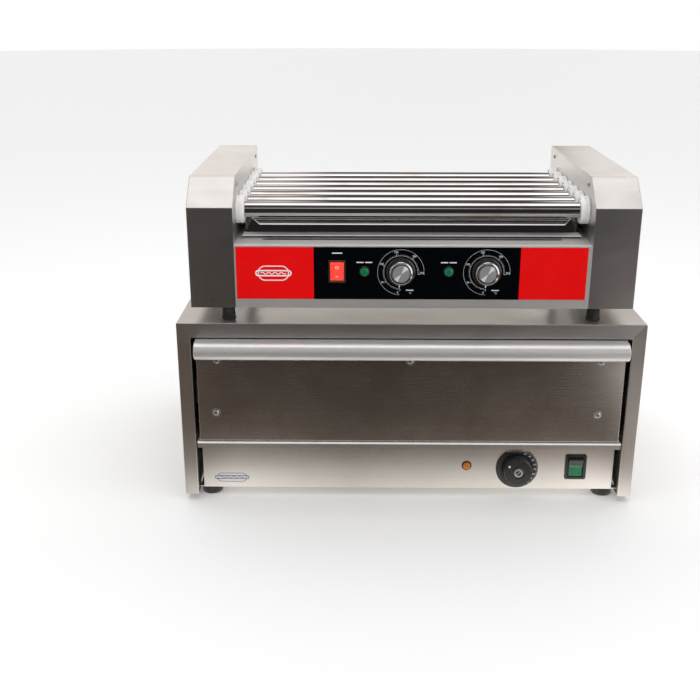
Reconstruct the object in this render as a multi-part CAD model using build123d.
from build123d import *
import os
from math import atan2, cos, degrees, hypot, pi, radians, sin, sqrt

# Hot dog roller grill standing on its bun-warming drawer cabinet.
# Millimetres. X to the right, Y to the back, +Z up.
# The parts are laid out from the front plane (Y = 0) and the cabinet's lower edge
# (Z = 0); save() then moves the origin to the middle of the footprint on the floor.

# ---------------------------------------------------------------- driving dimensions
SHEET = 1.2                      # stainless sheet of every panel

# grill
GRILL_W = 585.0                  # over both side housings
GRILL_D = 332.0
SIDE_W = 59.5                    # one side housing
GRILL_Z = 276.5                  # underside of the grill
FRONT_TOP = 409.6                # where a housing's front face meets its chamfer
CHAMFER_Y = 38.4
GRILL_TOP = 444.4
DECK_TOP = 362.0                 # top of the control box, under the drip tray
DECK_BEND = 3.0                  # outer radius between the front panel and the deck
DECK_SLOT_Y = 33.5               # long slot in the deck behind the ledge

# rollers and drive
ROLLERS = 7
ROLLER_R = 11.0
ROLLER_WALL = 1.2
ROLLER_PITCH = 39.0
ROLLER_Y = 46.4                  # axis of the front roller
ROLLER_Z = 399.3
RING_R = 18.4                    # sealing ring round each roller end
RING_FACE = 221.8                # half the roller length between the rings
BUSH_R = 14.0
RUN_FIT = 0.05                   # radial running clearance
ELEMENT_R = 4.0
CHAIN_PITCH = 6.35
CHAIN_LINKS = 96
CHAIN_IN = 1.9                   # inner faces of the side plates, from the chain's middle
CHAIN_OUT = 2.8
LINK_HALF = 2.4                  # half height of a side plate
PIN_R = 1.6
TEETH = 16
TOOTH_R = 17.6
TOOTH_T = 2.8
HUB_R = 12.8
HUB_LENGTH = 10.0
MOTOR_SHAFT_R = 5.0

# control panel of the grill
PANEL_LOW = 288.8                # lower edge of the printed overlay
PANEL_HIGH = 358.9
RED_LEFT = (-230.7, -129.0)
RED_RIGHT = (140.3, 227.5)
OVERLAY = 0.3
CONTROL_Z = 326.5
KNOB_X = (-15.1, 97.1)
LAMP_X = (-62.6, 47.5)
LAMP_R = 7.2
ROCKER_X = -98.5
KNOB_SHAFT_R = 3.0

# drip tray
TRAY_HALF = 226.0
TRAY_FRONT = 63.0
TRAY_BACK = 302.0
TRAY_FLOOR = 363.0
TRAY_RIM = 379.5
FLAP_TOP = (TRAY_FRONT, 385.4)   # (Y, Z) of the fold
FLAP_EDGE = (34.0, 381.1)        # (Y, Z) of the free edge
FLAP_HALF_TOP = 215.0
FLAP_HALF_EDGE = 200.5

# cabinet
CAB_W = 629.0
CAB_H = 254.3
CAB_D = 400.0
POST = 18.5                      # front flange at each side
TOP_BAR = 20.5                   # front flange along the top
LIP = 25.0                       # flange returned to the back
MITRE = 0.35                     # gap between the flanges at the top corners
MITRE_END = 1.8                  # how far the gap stays from either rim
SHELF_LOW = 72.0
SHELF_TOP = 81.0
LOWER_Y = 15.0                   # the lower panel is set back
LOWER_Z = 4.0
LOWER_HALF = 290.0
FOOT_H = 10.0                    # foot showing below the cabinet
FOOT_R = 14.5

# drawer
DRAWER_HALF = 290.0
DRAWER_LOW = 83.5
DRAWER_HIGH = 232.4
DRAWER_T = 18.0
HANDLE_HALF = 289.0
HANDLE_FLAT = 12.0               # flat top of the handle before it turns down
HANDLE_R = 12.45
HANDLE_WALL = 1.5
BOX_HALF = 279.0
BOX_LOW = 92.0
BOX_HIGH = 200.0
BOX_BACK = 372.0
RAIL_Z = 145.0
WASHER_R = 6.0

# cabinet controls
DIAL_X = 154.5
DIAL_Z = 36.0
DIAL_R = 29.7
DIAL_FLAT = 24.3                 # height of the flat above the dial's centre
AMBER_X = 83.4
AMBER_Z = 39.5
GREEN_X = 237.2
GREEN_Z = 38.5

# ------------------------------------------------------------------ derived dimensions
HALF_W = GRILL_W / 2
INNER = HALF_W - SIDE_W          # inner face of a side housing
BETWEEN = INNER - 0.1            # half width of what fits between the housings
CAB_HALF = CAB_W / 2
OPENING = CAB_HALF - POST        # half width of the cabinet's opening
PITCH_R = CHAIN_PITCH / (2 * sin(pi / TEETH))
CHAIN_X = -248.0                 # middle plane of the sprocket teeth
END_RUN = (CHAIN_LINKS - TEETH) * CHAIN_PITCH - (ROLLERS - 1) * ROLLER_PITCH
MOTOR_Y = ROLLER_Y + (ROLLERS - 1) * ROLLER_PITCH / 2
MOTOR_Z = ROLLER_Z - sqrt((END_RUN / 2) ** 2 - (MOTOR_Y - ROLLER_Y) ** 2)
GLAND_REACH = 12.0
FRONT_REACH = HANDLE_FLAT + HANDLE_R
CENTRE_Y = (CAB_D + GLAND_REACH - FRONT_REACH) / 2
ROLLER_AXES = [ROLLER_Y + ROLLER_PITCH * i for i in range(ROLLERS)]

# places of repeated pieces
SIDE_SCREWS = [(52.4, 432.0), (300.0, 432.0), (20.0, 345.0), (312.0, 345.0)]        # (Y, Z)
COVER_SCREWS = [(40.0, 292.0), (292.0, 292.0), (292.0, 420.0)]                      # (Y, Z)
BACK_SCREWS = [(x, z) for x in (-300, 0, 300) for z in (8, 246)]
DRAWER_SCREWS = [(-262, 202), (0, 202), (257, 202), (-266, 125.5), (258, 124.5)]     # (X, Z)
LEGS = [(x, y) for x in (-246, 246) for y in (25, 306)]
FEET = [(x, y) for x in (-281, 281) for y in (34, 366)]


# ---------------------------------------------------------------------------- helpers
def save(name, *solids):
    """Write one node, moved so that the origin is the footprint's centre."""
    moved = [Pos(0, -CENTRE_Y, FOOT_H) * s for s in solids]
    shape = moved[0] if len(moved) == 1 else Compound(children=moved)
    shape.label = name
    export_step(shape, f"parts/{name}.step")


def slab(x0, x1, y0, y1, z0, z1):
    return Pos((x0 + x1) / 2, (y0 + y1) / 2, (z0 + z1) / 2) * Box(x1 - x0, y1 - y0, z1 - z0)


def rod_x(radius, x0, x1, y, z):
    return Pos((x0 + x1) / 2, y, z) * Rot(0, 90, 0) * Cylinder(radius, x1 - x0)


def rod_y(radius, y0, y1, x, z):
    return Pos(x, (y0 + y1) / 2, z) * Rot(90, 0, 0) * Cylinder(radius, y1 - y0)


def rod_z(radius, z0, z1, x, y):
    return Pos(x, y, (z0 + z1) / 2) * Cylinder(radius, z1 - z0)


def along_x(face, x0, x1):
    """Extrude a face drawn in (Y, Z) from x0 to x1."""
    return extrude(Plane.YZ.offset(x0) * face, x1 - x0, dir=(1, 0, 0))


def turned_y(points, x, z):
    """Turn a (radius, depth) outline round the axis along Y through x, z."""
    outline = Plane.XY * Polygon(*points, align=None)
    return Pos(x, 0, z) * revolve(outline, Axis.Y)


def slot_cutters(y, z, count, spacing, length):
    """Cutters for a centred row of upright vent slots through a sheet that faces the back."""
    for i in range(count):
        place = Plane(origin=((i - (count - 1) / 2) * spacing, y, z), x_dir=(0, 0, 1), z_dir=(0, 1, 0))
        yield extrude(place * SlotOverall(length, 5), 3, both=True)


def mirrored(shape):
    return mirror(shape, about=Plane.YZ)


def screw_y(x, y, z, side):
    """Pan-head screw with its head on the face at y; side -1 faces the front."""
    head = turned_y([(0, 0), (3.2, 0), (3.0, side * 1.2), (2.0, side * 1.9), (0, side * 2.1)], x, z)
    return Pos(0, y, 0) * head + rod_y(1.5, *sorted((y, y - side * 4)), x, z)


def washer_screw(x, z):
    """Larger pan-head screw on a flat washer, in the plane Y = 0."""
    washer = [(0, 0), (WASHER_R, 0), (WASHER_R, -0.8)]
    head = [(4.3, -0.8), (4.1, -2.2), (3.0, -3.0), (0, -3.2)]
    return turned_y(washer + head, x, z) + rod_y(1.5, 0, 4, x, z)


def screw_x(x, y, z, side):
    """Pan-head screw with its head on the face at x; side +1 faces the right."""
    return Pos(x, y, z) * Rot(0, 0, 90 * side) * screw_y(0, 0, 0, -1)


# -------------------------------------------------------------------- housings of the grill
def housing_outline(inset):
    outline = Polygon((0, GRILL_Z), (0, FRONT_TOP), (CHAMFER_Y, GRILL_TOP),
                      (GRILL_D, GRILL_TOP), (GRILL_D, GRILL_Z), align=None)
    return offset(outline, -inset, kind=Kind.INTERSECTION) if inset else outline


def housing_cover():
    shell = along_x(housing_outline(0), INNER, HALF_W)
    bends = shell.edges().filter_by(Axis.X).filter_by(lambda e: e.center().Z > GRILL_Z + 1)
    shell = fillet(bends, 1.5)
    outer = shell.faces().sort_by(Axis.X)[-1]
    rim = [e for e in outer.edges() if e.center().Z > GRILL_Z + 1]
    shell = fillet(rim, 0.8)
    hollow = along_x(housing_outline(SHEET), INNER - 1, HALF_W - SHEET)
    shell -= hollow + slab(INNER - 1, HALF_W - SHEET, SHEET, GRILL_D - SHEET,
                           GRILL_Z - 1, GRILL_Z + 5)
    for y, z in COVER_SCREWS:
        shell -= rod_x(1.5, HALF_W - 3, HALF_W + 1, y, z)
    return shell


def inner_plate(drive_side):
    plate = along_x(housing_outline(SHEET + 0.2), INNER, INNER + SHEET)
    plate += slab(INNER, INNER + SHEET, SHEET + 0.2, GRILL_D - SHEET - 0.2,
                  GRILL_Z + SHEET, GRILL_Z + 5)
    plate -= slab(INNER - 1, INNER + 5, -1, GRILL_D + 1, GRILL_Z - 1, GRILL_Z + SHEET)
    for y in ROLLER_AXES:
        plate -= rod_x(BUSH_R, INNER - 1, INNER + 5, y, ROLLER_Z)
    for y, z in SIDE_SCREWS:
        plate -= rod_x(1.5, INNER - 1, INNER + 5, y, z)
    if drive_side:
        plate -= rod_x(9.0, INNER - 1, INNER + 5, MOTOR_Y, MOTOR_Z)
    return plate


# ------------------------------------------------------------------------ rollers and drive
def roller(y):
    tube = rod_x(ROLLER_R, -256.0, 246.0, y, ROLLER_Z)
    return tube - rod_x(ROLLER_R - ROLLER_WALL, -257.0, 247.0, y, ROLLER_Z)


def bearing_ring(y):
    """Sealing ring with a bush that lines the hole in the side plate."""
    ring = rod_x(RING_R, RING_FACE, INNER, y, ROLLER_Z)
    ring = chamfer(ring.edges().sort_by(Axis.X)[0], 1.2)
    ring += rod_x(BUSH_R, INNER, INNER + 3, y, ROLLER_Z)
    return ring - rod_x(ROLLER_R + RUN_FIT, RING_FACE - 1, INNER + 4, y, ROLLER_Z)


def tooth_wheel(gap_angle):
    """Sprocket outline with one tooth gap at gap_angle from the top."""
    wheel = Circle(TOOTH_R)
    for i in range(TEETH):
        place = Rot(0, 0, -(gap_angle + 360 / TEETH * i))
        wheel -= place * Pos(0, PITCH_R) * Circle(PIN_R + 0.35)
        wheel -= place * Pos(0, PITCH_R + 2.0) * Circle(PIN_R + 1.0)
    return wheel


def sprocket(y, z, gap_angle, bore):
    """Toothed wheel with a hub towards the side plate."""
    blank = tooth_wheel(gap_angle) - Circle(bore)
    hub = Circle(HUB_R) - Circle(bore)
    place = Plane(origin=(CHAIN_X - TOOTH_T / 2, y, z), x_dir=(0, 1, 0), z_dir=(1, 0, 0))
    return extrude(place * blank, TOOTH_T) + extrude(place * hub, HUB_LENGTH)


def chain_point(s):
    """(Y, Z) of the chain's centre line, s links on from the top of the front sprocket."""
    top = (ROLLERS - 1) * ROLLER_PITCH / CHAIN_PITCH
    slope = END_RUN / 2 / CHAIN_PITCH
    dip = atan2(ROLLER_Z - MOTOR_Z, MOTOR_Y - ROLLER_Y)
    turn = 2 * pi / TEETH
    end_wrap = (pi - dip) / turn
    last_y = ROLLER_AXES[-1]
    if s < top:
        return ROLLER_Y + s * CHAIN_PITCH, ROLLER_Z + PITCH_R
    s -= top
    if s < end_wrap:
        return last_y + PITCH_R * sin(s * turn), ROLLER_Z + PITCH_R * cos(s * turn)
    s -= end_wrap
    if s < slope:
        leave = pi - dip
        y, z = last_y + PITCH_R * sin(leave), ROLLER_Z + PITCH_R * cos(leave)
        return y - s * CHAIN_PITCH * cos(dip), z - s * CHAIN_PITCH * sin(dip)
    s -= slope
    if s < 2 * dip / turn:
        a = pi - dip + s * turn
        return MOTOR_Y + PITCH_R * sin(a), MOTOR_Z + PITCH_R * cos(a)
    s -= 2 * dip / turn
    if s < slope:
        a = pi + dip
        y, z = MOTOR_Y + PITCH_R * sin(a), MOTOR_Z + PITCH_R * cos(a)
        return y - s * CHAIN_PITCH * cos(dip), z + s * CHAIN_PITCH * sin(dip)
    a = pi + dip + (s - slope) * turn
    return ROLLER_Y + PITCH_R * sin(a), ROLLER_Z + PITCH_R * cos(a)


def gap_at(y, z, side=1):
    """Angle from the top of the tooth gap over the pin nearest a wheel's top, or its bottom if side is -1."""
    pins = [chain_point(s) for s in range(CHAIN_LINKS)]
    near = min(pins, key=lambda p: hypot(p[0] - y, p[1] - z - side * PITCH_R))
    return degrees(atan2(near[0] - y, near[1] - z))


def chain():
    """Roller chain: side plates joined by pins, which end at the plates where the teeth sweep past."""
    loops = [(ROLLER_AXES[0], ROLLER_Z), (ROLLER_AXES[-1], ROLLER_Z), (MOTOR_Y, MOTOR_Z)]

    def loop(radius):
        return make_hull(Sketch([Pos(y, z) * Circle(radius) for y, z in loops]).edges())

    band = loop(PITCH_R + LINK_HALF) - loop(PITCH_R - LINK_HALF)
    plates = along_x(band, CHAIN_X - CHAIN_OUT, CHAIN_X - CHAIN_IN)
    plates += along_x(band, CHAIN_X + CHAIN_IN, CHAIN_X + CHAIN_OUT)
    spots = [chain_point(s) for s in range(CHAIN_LINKS)]
    links = plates + [rod_x(PIN_R, CHAIN_X - CHAIN_OUT, CHAIN_X + CHAIN_OUT, y, z) for y, z in spots]
    for y, z in [(y, ROLLER_Z) for y in ROLLER_AXES] + [(MOTOR_Y, MOTOR_Z)]:
        links -= rod_x(TOOTH_R + 0.3, CHAIN_X - CHAIN_IN + 0.2, CHAIN_X + CHAIN_IN - 0.2, y, z)
    return links


def gear_motor():
    box = slab(-INNER + 0.2, -190, MOTOR_Y - 35, MOTOR_Y + 35, MOTOR_Z - 30, MOTOR_Z + 30)
    box = fillet(box.edges().filter_by(Axis.X), 4)
    can = rod_x(27, -190, -138, MOTOR_Y + 6, MOTOR_Z - 1)
    can = fillet(can.edges().sort_by(Axis.X)[-1], 3)
    bore = rod_x(MOTOR_SHAFT_R + RUN_FIT, -INNER, -204, MOTOR_Y, MOTOR_Z)
    return box + can - bore


# ------------------------------------------------------------------------------- controls
def rocker_frame(x, z, face, opening_w, opening_h, rim, corner):
    """Bezel in front of the panel and the switch body behind it; face is the panel's Y."""
    plate = Rectangle(opening_w + 2 * rim, opening_h + 2 * rim)
    plate = fillet(plate.vertices(), corner)
    front = Plane(origin=(x, face, z), x_dir=(1, 0, 0), z_dir=(0, -1, 0))
    bezel = extrude(front * plate, 2.2)
    bezel = chamfer(bezel.faces().sort_by(Axis.Y)[0].edges(), 0.6)
    body = slab(x - opening_w / 2 - 0.8, x + opening_w / 2 + 0.8, face, face + 24,
                z - opening_h / 2 - 0.8, z + opening_h / 2 + 0.8)
    well = slab(x - opening_w / 2, x + opening_w / 2, face - 3, face + 11,
                z - opening_h / 2, z + opening_h / 2)
    return bezel + body - well


def rocker(x, z, face, opening_w, opening_h, tilt):
    """Rocker with a shallow V front, turned about an axis along X just behind the bezel."""
    radius = opening_h / 2 - 0.4
    pivot = face + 1.0
    front = Polygon((-2.4, 0), (-2.4 - radius * sin(radians(9)), radius + 1), (8, radius + 1),
                    (8, -radius - 1), (-2.4 - radius * sin(radians(9)), -radius - 1), align=None)
    section = (Circle(radius) & front)
    half = opening_w / 2 - 0.4
    return Pos(x, pivot, z) * Rot(tilt, 0, 0) * along_x(section, -half, half)


def heat_knob(x):
    outline = [(0, -1.0), (19.0, -1.0), (19.0, -3.0), (16.8, -4.0), (15.8, -11.5), (14.6, -12.6), (0, -12.6)]
    shaft = rod_y(KNOB_SHAFT_R, -1.2, 16.0, x, CONTROL_Z)
    return turned_y(outline, x, CONTROL_Z) + shaft


def knob_cap(x):
    return turned_y([(0, -12.6), (11.0, -12.6), (11.0, -13.6), (10.4, -14.2), (0, -14.2)], x, CONTROL_Z)


def lamp(x, z, face, radius):
    lens = [(0, 20), (radius - 1.6, 20), (radius - 1.6, 0), (radius, 0), (radius, -1.2),
            (radius - 1.2, -1.8), (radius * 0.62, -3.4), (0, -4.2)]
    return Pos(0, face, 0) * turned_y(lens, x, z)


def thermostat(x, z, panel_back):
    """Capillary thermostat: body, threaded neck, and the bore that carries the knob's shaft."""
    body = slab(x - 19, x + 19, panel_back + 2, panel_back + 32, z - 16, z + 16)
    neck = rod_y(5.0, panel_back, panel_back + 2, x, z)
    bulb_lead = rod_y(2.0, panel_back + 32, panel_back + 60, x + 10, z)
    bore = rod_y(KNOB_SHAFT_R + RUN_FIT, panel_back - 1, panel_back + 20, x, z)
    return body + neck + bulb_lead - bore


# --------------------------------------------------------------------- grill panels and tray
def top_front(block):
    """The upper front edge of a block."""
    return block.edges().filter_by(Axis.X).group_by(Axis.Y)[0].group_by(Axis.Z)[-1]


def pierced(sheet):
    """Cut the openings for the knobs, lamps and power switch through a sheet of the front panel."""
    for x in KNOB_X:
        sheet -= rod_y(4.5, -1, 2, x, CONTROL_Z)
    for x in LAMP_X:
        sheet -= rod_y(LAMP_R - 1.6, -1, 2, x, CONTROL_Z)
    return sheet - slab(ROCKER_X - 10.2, ROCKER_X + 10.2, -1, 2, CONTROL_Z - 14.1, CONTROL_Z + 14.1)


def control_box_cover():
    """Front panel and deck, one bent sheet with a slot behind the ledge."""
    sheet = slab(-BETWEEN, BETWEEN, 0, GRILL_D - SHEET - 0.4, GRILL_Z, DECK_TOP)
    inside = slab(-BETWEEN - 1, BETWEEN + 1, SHEET, GRILL_D, GRILL_Z - 1, DECK_TOP - SHEET)
    sheet = fillet(top_front(sheet), DECK_BEND) - fillet(top_front(inside), DECK_BEND - SHEET)
    sheet -= Pos(0, DECK_SLOT_Y, DECK_TOP) * extrude(SlotOverall(398, 11), 4, both=True)
    return pierced(sheet)


def overlay(x0, x1):
    """Printed film on the front panel from x0 to x1."""
    return pierced(slab(x0, x1, -OVERLAY, 0, PANEL_LOW, PANEL_HIGH))


def drip_tray():
    """Pan under the rollers, its front wall folded into a sloping pull flap."""
    pan = slab(-TRAY_HALF, TRAY_HALF, TRAY_FRONT, TRAY_BACK, TRAY_FLOOR, TRAY_RIM)
    pan -= slab(-TRAY_HALF + 1, TRAY_HALF - 1, TRAY_FRONT + 1, TRAY_BACK - 1, TRAY_FLOOR + 1, TRAY_RIM + 1)
    pan += slab(-TRAY_HALF, TRAY_HALF, 39.0, TRAY_FRONT + 1, TRAY_FLOOR, TRAY_FLOOR + 1)
    pan += slab(-FLAP_HALF_TOP, FLAP_HALF_TOP, TRAY_FRONT, TRAY_FRONT + 1, TRAY_RIM - 1, FLAP_TOP[1])
    slope = atan2(FLAP_TOP[1] - FLAP_EDGE[1], FLAP_TOP[0] - FLAP_EDGE[0])
    reach = (FLAP_TOP[0] - FLAP_EDGE[0]) / cos(slope)
    flap = Polygon((-FLAP_HALF_TOP, 1), (FLAP_HALF_TOP, 1), (FLAP_HALF_TOP, 0),
                   (FLAP_HALF_EDGE, -reach), (-FLAP_HALF_EDGE, -reach), (-FLAP_HALF_TOP, 0), align=None)
    fold = (0, FLAP_TOP[0], FLAP_TOP[1] - 1)
    lying = Plane(origin=fold, x_dir=(1, 0, 0), z_dir=(0, -sin(slope), cos(slope)))
    return pan + extrude(lying * flap, 1)


def rear_panel():
    back = GRILL_D - 0.2
    sheet = slab(-BETWEEN, BETWEEN, back - SHEET, back, GRILL_Z + SHEET, 386.0)
    for cut in slot_cutters(back, 325, 12, 20, 34):
        sheet -= cut
    return sheet - rod_y(8.0, back - 3, back + 3, -190, 300)


def grill_base():
    sheet = slab(-HALF_W + SHEET + 0.1, HALF_W - SHEET - 0.1, SHEET + 0.1, GRILL_D - SHEET - 0.1,
                 GRILL_Z, GRILL_Z + SHEET)
    for i in range(9):
        sheet -= Pos(-160 + 40 * i, 200, GRILL_Z) * Rot(0, 0, 90) * extrude(SlotOverall(90, 6), 3, both=True)
    return sheet


def element_bracket(side):
    """Channel inside a housing that carries the ends of the heating elements."""
    x = 272.0
    web = slab(x, x + SHEET, 20, 308, 384, 414)
    for y in ROLLER_AXES:
        web -= rod_x(ELEMENT_R + 0.1, x - 1, x + 3, y, ROLLER_Z)
    web += slab(INNER + SHEET, x + SHEET, 20, 20 + SHEET, 384, 414)
    web += slab(INNER + SHEET, x + SHEET, 308 - SHEET, 308, 384, 414)
    return web if side > 0 else mirrored(web)


def heating_element(y):
    rod = rod_x(ELEMENT_R, -278, 278, y, ROLLER_Z)
    return rod + rod_x(1.5, -285, 285, y, ROLLER_Z)


# --------------------------------------------------------------------------------- cabinet
def mitre_gap(side):
    """Fine gap where the top flange meets a side flange, clear of both rounded rims."""
    run = Vector(POST - 2 * MITRE_END, 0, TOP_BAR - 2 * MITRE_END)
    angle = degrees(atan2(run.Z, run.X))
    middle = (CAB_HALF - POST / 2, 0, CAB_H - TOP_BAR / 2)
    cut = Pos(*middle) * Rot(0, -angle, 0) * Box(run.length, 4, MITRE)
    return cut if side > 0 else mirrored(cut)


def cabinet_shell():
    """Top and sides in one sheet, flanged at the front and returned inwards."""
    shell = slab(-CAB_HALF, CAB_HALF, 0, CAB_D, 0, CAB_H)
    shell = fillet(shell.edges().filter_by(Axis.Y).group_by(Axis.Z)[-1], 1.6)
    front = shell.faces().sort_by(Axis.Y)[0].edges()
    shell = fillet(front.filter_by(lambda e: e.center().Z > 1), 1.1)
    shell -= slab(-CAB_HALF + SHEET, CAB_HALF - SHEET, SHEET, CAB_D + 1, -1, CAB_H - SHEET)
    shell += slab(-OPENING - SHEET, OPENING + SHEET, SHEET / 2, LIP, 0, CAB_H - TOP_BAR + SHEET)
    shell -= slab(-OPENING, OPENING, -5, LIP + 1, -5, CAB_H - TOP_BAR)
    rim = [e for e in shell.edges().group_by(Axis.Y)[0]
           if abs(e.center().X) < OPENING + 0.1 and 1 < e.center().Z < CAB_H - TOP_BAR + 0.1]
    shell = fillet(rim, 1.0)
    for side in (-1, 1):
        shell -= mitre_gap(side)
    return shell


def cabinet_back():
    half = CAB_HALF - SHEET - 0.1
    sheet = slab(-half, half, CAB_D - SHEET, CAB_D, 0, CAB_H - SHEET - 0.1)
    for z in (215, 45):
        for cut in slot_cutters(CAB_D, z, 16, 16, 30):
            sheet -= cut
    for x, z in BACK_SCREWS:
        sheet -= rod_y(1.5, CAB_D - 3, CAB_D + 1, x, z)
    return sheet - rod_y(8.0, CAB_D - 3, CAB_D + 3, 230, 40)


def shelf():
    """Floor of the drawer bay with a turned-down front edge."""
    plate = slab(-294, 294, 0.4, CAB_D - 5, SHELF_TOP - SHEET, SHELF_TOP)
    plate += slab(-294, 294, 0.4, 0.4 + SHEET, SHELF_LOW, SHELF_TOP)
    return fillet(plate.edges().filter_by(Axis.X).group_by(Axis.Y)[0].sort_by(Axis.Z)[-1], 1.0)


def bay_liner():
    """Inner side wall of the cabinet, which carries the drawer's fixed rail."""
    inside = OPENING + 0.8
    return slab(inside, inside + SHEET, LIP + 0.2, CAB_D - 5, LOWER_Z + SHEET, CAB_H - SHEET - 0.2)


def lower_panel():
    """Set-back panel that carries the warmer's controls."""
    back = LOWER_Y + SHEET
    sheet = slab(-LOWER_HALF, LOWER_HALF, LOWER_Y, back, LOWER_Z, SHELF_TOP - SHEET)
    sheet += slab(-LOWER_HALF, LOWER_HALF, LOWER_Y, LOWER_Y + 22, LOWER_Z + SHEET, LOWER_Z + 2 * SHEET)
    sheet -= rod_y(4.5, LOWER_Y - 1, back + 1, DIAL_X, DIAL_Z)
    sheet -= rod_y(5.6, LOWER_Y - 1, back + 1, AMBER_X, AMBER_Z)
    return sheet - slab(GREEN_X - 11.8, GREEN_X + 11.8, LOWER_Y - 1, back + 1, GREEN_Z - 15.8, GREEN_Z + 15.8)


def cabinet_floor():
    return slab(-OPENING + 0.2, OPENING - 0.2, LOWER_Y + SHEET, CAB_D - SHEET - 0.2, LOWER_Z, LOWER_Z + SHEET)


def foot(x, y):
    base = rod_z(FOOT_R, -FOOT_H, LOWER_Z, x, y)
    return chamfer(base.edges().sort_by(Axis.Z)[0], 1.5)


def dial_plate():
    """Fixed scale plate behind the warmer's knob, cut flat along its top."""
    disc = Circle(DIAL_R) - Pos(0, DIAL_FLAT + 10) * Rectangle(80, 20) - Circle(4.5)
    front = Plane(origin=(DIAL_X, LOWER_Y, DIAL_Z), x_dir=(1, 0, 0), z_dir=(0, -1, 0))
    plate = extrude(front * disc, 2.4)
    return chamfer(plate.faces().sort_by(Axis.Y)[0].outer_wire().edges(), 0.8)


def warmer_knob():
    grip = [(0, -3.0), (22.0, -3.0), (21.4, -6.0), (20.0, -15.0), (18.6, -16.4), (0, -16.4)]
    shaft = rod_y(KNOB_SHAFT_R, LOWER_Y - 4, LOWER_Y + 17, DIAL_X, DIAL_Z)
    return Pos(0, LOWER_Y, 0) * turned_y(grip, DIAL_X, DIAL_Z) + shaft


def knob_centre():
    """Plated centre piece on the warmer's knob."""
    face = LOWER_Y - 16.4
    return turned_y([(0, face), (6.4, face), (6.4, face - 1), (5.8, face - 1.6), (0, face - 1.6)],
                    DIAL_X, DIAL_Z)


def warming_element():
    """Tubular element in a long loop below the shelf."""
    corners = [(-220, 100), (200, 100), (200, 200), (-200, 200), (-200, 300), (220, 300)]
    route = FilletPolyline(*corners, radius=40)
    path = Pos(0, 0, 66) * route
    return sweep(Plane(path ^ 0) * Circle(4), path=path)


# ---------------------------------------------------------------------------------- drawer
def drawer_front():
    """Folded pan with its open side to the back."""
    front = slab(-DRAWER_HALF, DRAWER_HALF, 0, DRAWER_T, DRAWER_LOW, DRAWER_HIGH)
    front = fillet(front.edges().group_by(Axis.Y)[0], 1.0)
    front -= slab(-DRAWER_HALF + SHEET, DRAWER_HALF - SHEET, SHEET, DRAWER_T + 1,
                  DRAWER_LOW + SHEET, DRAWER_HIGH - SHEET)
    for x, z in DRAWER_SCREWS:
        front -= rod_y(1.5, -1, 3, x, z)
    return front


def drawer_handle():
    """Half-round pull along the drawer's top edge, open below for the fingers."""
    low = DRAWER_HIGH - 2 * HANDLE_R

    def outline(inset):
        radius = HANDLE_R - inset
        top, bottom = DRAWER_HIGH - inset, low + inset
        nose = (-HANDLE_FLAT - radius, (top + bottom) / 2)
        return make_face([Line((0, bottom), (0, top)), Line((0, top), (-HANDLE_FLAT, top)),
                          ThreePointArc((-HANDLE_FLAT, top), nose, (-HANDLE_FLAT, bottom)),
                          Line((-HANDLE_FLAT, bottom), (0, bottom))])

    bar = along_x(outline(0), -HANDLE_HALF, HANDLE_HALF)
    bar = fillet(bar.faces().filter_by(Axis.X).edges().filter_by(lambda e: e.center().Y < -HANDLE_FLAT), 1.0)
    inside = along_x(outline(HANDLE_WALL), -HANDLE_HALF + HANDLE_WALL, HANDLE_HALF - HANDLE_WALL)
    finger_gap = slab(-HANDLE_HALF + HANDLE_WALL, HANDLE_HALF - HANDLE_WALL, -HANDLE_FLAT, 1,
                      low - 1, low + HANDLE_WALL + 1)
    return bar - inside - finger_gap


def drawer_box():
    """Five sheets welded along their edges, the upper edges rounded."""
    back = BOX_BACK - SHEET
    inside = BOX_HALF - SHEET
    bottom = slab(-inside, inside, DRAWER_T + SHEET, back, BOX_LOW, BOX_LOW + SHEET)
    side = slab(inside, BOX_HALF, DRAWER_T, BOX_BACK, BOX_LOW, BOX_HIGH)
    ends = [slab(-inside, inside, y, y + SHEET, BOX_LOW, BOX_HIGH) for y in (DRAWER_T, back)]
    walls = []
    for wall in (side, *ends):
        long_edges = wall.edges().group_by(Axis.Z)[-1].sort_by(SortBy.LENGTH)[-2:]
        walls.append(fillet(long_edges, 0.5))
    return [bottom, *walls, mirrored(walls[0])]


def fixed_rail():
    """Channel on the bay's side wall, open towards the drawer."""
    out = OPENING + 0.8
    rail = slab(out - 12.3, out, 30, 385, RAIL_Z - 17, RAIL_Z + 17)
    rail -= slab(out - 10.8, out - 1.5, 29, 386, RAIL_Z - 15.5, RAIL_Z + 15.5)
    return rail - slab(out - 13, out - 10, 29, 386, RAIL_Z - 11, RAIL_Z + 11)


def moving_rail():
    """T-shaped runner on the drawer box, held behind the channel's lips."""
    web = slab(BOX_HALF, BOX_HALF + 9, 24, 368, RAIL_Z - 6, RAIL_Z + 6)
    return web + slab(BOX_HALF + 9, BOX_HALF + 13, 24, 368, RAIL_Z - 13.5, RAIL_Z + 13.5)


# ------------------------------------------------------------------------------------ output
os.makedirs("parts", exist_ok=True)

cover = housing_cover()
save("right_housing_cover", cover)
save("left_housing_cover", mirrored(cover))
save("right_inner_plate", inner_plate(False))
save("left_inner_plate", mirrored(inner_plate(True)))
save("control_box_cover", control_box_cover())
save("grill_base", grill_base())
save("rear_panel", rear_panel())
save("grill_legs", *[rod_z(9.5, CAB_H, GRILL_Z, x, y) for x, y in LEGS])

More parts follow.
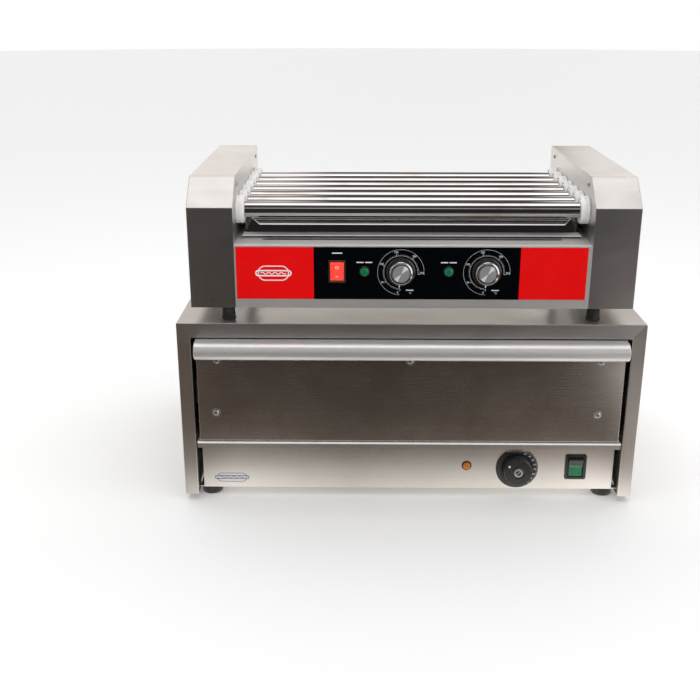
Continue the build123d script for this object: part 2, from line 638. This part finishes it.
for number, axis_y in enumerate(ROLLER_AXES, start=1):
    save(f"roller_{number}", roller(axis_y))
    save(f"sprocket_{number}", sprocket(axis_y, ROLLER_Z, gap_at(axis_y, ROLLER_Z), ROLLER_R))
rings = [bearing_ring(y) for y in ROLLER_AXES]
save("bearing_rings", *rings, *[mirrored(r) for r in rings])
save("heating_elements", *[heating_element(y) for y in ROLLER_AXES])
save("element_brackets", element_bracket(1), element_bracket(-1))
save("drive_chain", chain())
motor_wheel = sprocket(MOTOR_Y, MOTOR_Z, gap_at(MOTOR_Y, MOTOR_Z, -1), MOTOR_SHAFT_R - 1)
save("motor_sprocket", motor_wheel + rod_x(MOTOR_SHAFT_R, -253, -206, MOTOR_Y, MOTOR_Z))
save("gear_motor", gear_motor())
save("drip_tray", drip_tray())

save("black_overlay", overlay(RED_LEFT[1], RED_RIGHT[0]))
save("red_overlays", overlay(*RED_LEFT), overlay(*RED_RIGHT))
for side, x in zip(("left", "right"), KNOB_X):
    save(f"heat_knob_{side}", heat_knob(x))
    save(f"knob_cap_{side}", knob_cap(x))
save("indicator_lamps", *[lamp(x, CONTROL_Z, -OVERLAY, LAMP_R) for x in LAMP_X])
save("rocker_frames", rocker_frame(ROCKER_X, CONTROL_Z, -OVERLAY, 18.8, 26.6, 1.9, 1.0),
     rocker_frame(GREEN_X, GREEN_Z, LOWER_Y, 22.0, 30.0, 4.1, 3.0))
save("power_rocker", rocker(ROCKER_X, CONTROL_Z, -OVERLAY, 18.8, 26.6, 8))
save("warmer_rocker", rocker(GREEN_X, GREEN_Z, LOWER_Y, 22.0, 30.0, 8))
save("thermostats", *[thermostat(x, CONTROL_Z, SHEET) for x in KNOB_X],
     thermostat(DIAL_X, DIAL_Z, LOWER_Y + SHEET))
save("terminal_block", slab(120, 190, 220, 250, GRILL_Z + SHEET, GRILL_Z + 26))

save("cabinet_shell", cabinet_shell())
save("cabinet_back", cabinet_back())
save("cabinet_floor", cabinet_floor())
save("cabinet_shelf", shelf())
liner = bay_liner()
save("bay_liners", liner, mirrored(liner))
save("lower_panel", lower_panel())
save("cabinet_feet", *[foot(x, y) for x, y in FEET])
save("warming_element", warming_element())
save("dial_plate", dial_plate())
save("warmer_knob", warmer_knob(), knob_centre())
save("amber_lamp", lamp(AMBER_X, AMBER_Z, LOWER_Y, 7.0))
save("cable_glands",
     rod_y(8.0, GRILL_D - 6, GRILL_D + 6, -190, 300) + rod_y(11.0, GRILL_D - 0.2, GRILL_D + 8, -190, 300),
     rod_y(8.0, CAB_D - 6, CAB_D + 6, 230, 40) + rod_y(11.0, CAB_D, CAB_D + GLAND_REACH, 230, 40))

save("drawer_front", drawer_front())
save("drawer_handle", drawer_handle())
save("drawer_box", *drawer_box())
save("drawer_screws", *[washer_screw(x, z) for x, z in DRAWER_SCREWS])
rail, runner = fixed_rail(), moving_rail()
save("fixed_rails", rail, mirrored(rail))
save("moving_rails", runner, mirrored(runner))

inner_screws = [screw_x(INNER, y, z, -1) for y, z in SIDE_SCREWS]
cover_screws = [screw_x(HALF_W, y, z, 1) for y, z in COVER_SCREWS]
save("fixing_screws", *inner_screws, *[mirrored(s) for s in inner_screws],
     *cover_screws, *[mirrored(s) for s in cover_screws],
     *[screw_y(x, CAB_D, z, 1) for x, z in BACK_SCREWS])
